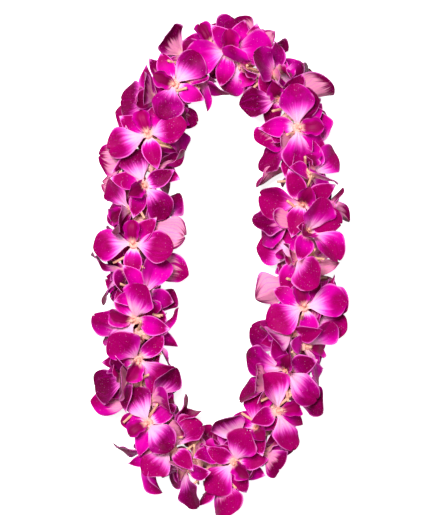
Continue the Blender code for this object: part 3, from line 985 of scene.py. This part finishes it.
class LEI_OT_string(bpy.types.Operator):
    """Lays the two-ply cotton string, with its knot"""

    bl_idname = "lei.string"
    bl_label = "String"

    def execute(self, context):
        sizes, colours = context.scene.lei_sizes, context.scene.lei_colours
        corners, _ = laid_blooms()
        string = plied("string_ply", rounded(corners[:-1]), sizes.ply)
        knot = tied("string_knot", corners[0], corners[1] - corners[0], sizes.ply)
        whole = joined("cotton_string", [string, knot])
        whole.data.materials.append(string_finish(colours))
        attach(whole, BODY)
        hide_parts("string")
        return {"FINISHED"}


def cad_solids():
    """All the CAD nodes as one tree of faces, for rays."""
    corners, faces = [], []
    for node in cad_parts.values():
        first = len(corners)
        corners += [vertex.co.copy() for vertex in node.data.vertices]
        faces += [[first + k for k in polygon.vertices] for polygon in node.data.polygons]
    return BVHTree.FromPolygons(corners, faces)


def ways_round(face):
    """Directions all round a bloom's face, level with it and turned back from it."""
    first = face.orthogonal().normalized()
    for back in STEM_TURNED_BACK:
        for k in range(STEM_WAYS):
            way = Matrix.Rotation(2 * math.pi * k / STEM_WAYS, 3, face) @ first
            yield (way - face * back).normalized()


def clear_stem(bloom, solids, sizes):
    """The cut stem that shows best from above: start, way, length and radius, or None without clear room."""
    neck = bloom.spot - bloom.face * STEM_BEHIND
    most, stem = STEM_SEEN, None
    for way in ways_round(bloom.face):
        start = neck + way * STEM_ASIDE
        hit = solids.ray_cast(start, way, sizes.stem_reach)
        reach = hit[3] - STEM_GAP if hit[0] else sizes.stem_reach
        marks = [start + way * reach * k / STEM_MARKS for k in range(1, STEM_MARKS + 1)]
        too_near = solids.find_nearest(start)[3] < sizes.stem
        if reach < STEM_SHORTEST or marks[-1].z < STEM_LOWEST or too_near:
            continue
        seen = sum(solids.ray_cast(mark, UP)[0] is None for mark in marks) * reach
        if seen > most:
            most, stem = seen, (neck, way, STEM_ASIDE + reach, sizes.stem)
    return stem


def stem_points(points, start, way, reach, radius):
    """Bends the model stem a little, thickens its cut end and puts it in place."""
    x, y, along = points.T
    first = way.orthogonal().normalized()
    second = way.cross(first)
    thick = radius * (1.10 - 0.25 * along)
    bow = STEM_BOW * np.sin(np.pi * along * 0.8)
    return (np.array(start) + times(along * reach, np.array(way)) + times(x * thick + bow, np.array(first))
            + times(y * thick, np.array(second)))


def bloom_models(colours):
    """The flat blades and turned pieces that each bloom's own are copied from."""
    finishes = {"petal": petal_finish(colours), "sepal": sepal_finish(colours), "lip": lip_finish(colours)}
    models = {kind: sheet_model(kind, finish) for kind, finish in finishes.items()}
    models["neck"] = turned_model("neck", NECK_PROFILE, NECK_SIDES, neck_finish(colours), creased_neck)
    models["column"] = turned_model("column", COLUMN_PROFILE, COLUMN_SIDES, column_finish(colours),
                                    bowed_column)
    models["stem"] = turned_model("stem", STEM_PROFILE, STEM_SIDES, stem_finish(colours))
    return models


def bloom_pieces(bloom, models, stem, sizes):
    """The neck, column, blades and cut stem of one bloom."""
    # The bloom's own numbers: its tint, how much painted shade darkens its blades, and its fade.
    own = [bloom.draw.random() for _ in range(3)]
    turn, spot = np.array(bloom.matrix().to_3x3()), np.array(bloom.matrix().translation)
    pieces = []
    for kind in ("neck", "column"):
        pieces.append(copied(models[kind], points_of(models[kind]) @ turn.T + spot, own))
    for blade in bloom.blades:
        model = models[blade.shape["kind"]]
        place = rows_of(model.data.attributes["place"].data, "vector")
        points = blade.fine(place, sizes, Quirks(bloom.draw))
        varied = [0.6 * share + 0.4 * bloom.draw.random() for share in own]
        pieces.append(copied(model, points, varied))
    if stem is not None:
        pieces.append(copied(models["stem"], stem_points(points_of(models["stem"]), *stem), own))
    return pieces


class LEI_OT_orchids(bpy.types.Operator):
    """Opens the ninety orchids, two to a piece"""

    bl_idname = "lei.orchids"
    bl_label = "Orchids"

    def execute(self, context):
        sizes, colours = context.scene.lei_sizes, context.scene.lei_colours
        blooms = read_blooms()
        models = bloom_models(colours)
        solids = cad_solids()
        for pair in range(PAIR_COUNT):
            pieces = []
            for bloom in blooms[2 * pair:2 * pair + 2]:
                pieces += bloom_pieces(bloom, models, clear_stem(bloom, solids, sizes), sizes)
            whole = joined(f"orchid_pair_{pair + 1:02d}", pieces)
            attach(whole, BODY)
            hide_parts(node_name(pair))
        for model in models.values():
            bpy.data.objects.remove(model)
        return {"FINISHED"}


def lamp(name, spot, size, watts):
    """A square soft light that shines at the middle of the lei."""
    light = bpy.data.lights.new(name, "AREA")
    light.size = size
    light.energy = watts
    made = bpy.data.objects.new(name, light)
    made.location = spot
    made.rotation_mode = "QUATERNION"
    made.rotation_quaternion = (-Vector(spot)).to_track_quat("-Z", "Y")
    bpy.context.scene.collection.objects.link(made)


class LEI_OT_stage(bpy.types.Operator):
    """Makes the pale floor, the soft lights and the camera over the lei"""

    bl_idname = "lei.stage"
    bl_label = "Stage"

    def execute(self, context):
        colours = context.scene.lei_colours
        bpy.ops.object.select_all(action="DESELECT")
        bpy.ops.mesh.primitive_plane_add(size=FLOOR_SIZE)
        floor = context.object
        floor.name = "floor"
        floor.data.materials.append(floor_finish(colours))
        floor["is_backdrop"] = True
        floor.visible_diffuse = False
        lamp("key", **KEY_LIGHT)
        lamp("fill", **FILL_LIGHT)
        world = bpy.data.worlds.new("Studio")
        world.use_nodes = True
        world.node_tree.nodes["Background"].inputs["Color"].default_value = (1, 1, 1, 1)
        world.node_tree.nodes["Background"].inputs["Strength"].default_value = WORLD_LIGHT
        context.scene.world = world
        context.scene.view_settings.view_transform = "Standard"
        camera = bpy.data.objects.new("camera", bpy.data.cameras.new("camera"))
        context.scene.collection.objects.link(camera)
        camera.location = (*PHOTO_MIDDLE, PHOTO_PLANE + CAMERA_DISTANCE)
        camera.data.lens = camera.data.sensor_width * CAMERA_DISTANCE / PHOTO_HEIGHT
        context.scene.camera = camera
        return {"FINISHED"}


class LEI_PT_panel(bpy.types.Panel):
    """The lei's sizes, colours and makers"""

    bl_label = "Double orchid lei"
    bl_space_type = "VIEW_3D"
    bl_region_type = "UI"
    bl_category = "Lei"

    def draw(self, context):
        for group in (context.scene.lei_sizes, context.scene.lei_colours):
            for name in group.__annotations__:
                self.layout.prop(group, name)
        for maker in MAKERS:
            self.layout.operator(maker.bl_idname)


MAKERS = (LEI_OT_string, LEI_OT_orchids, LEI_OT_stage)
CLASSES = (LeiSizes, LeiColours, *MAKERS, LEI_PT_panel)


def register():
    for cls in CLASSES:
        bpy.utils.register_class(cls)
    bpy.types.Scene.lei_sizes = PointerProperty(type=LeiSizes)
    bpy.types.Scene.lei_colours = PointerProperty(type=LeiColours)


def unregister():
    del bpy.types.Scene.lei_sizes
    del bpy.types.Scene.lei_colours
    for cls in reversed(CLASSES):
        bpy.utils.unregister_class(cls)


def main():
    register()
    bpy.ops.lei.string()
    bpy.ops.lei.orchids()
    bpy.ops.lei.stage()
    boxes = {"cad": CAD_BOX, "visual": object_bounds()}
    {name: [list(corner) for corner in box] for name, box in boxes.items()}


if __name__ == "__main__":
    main()
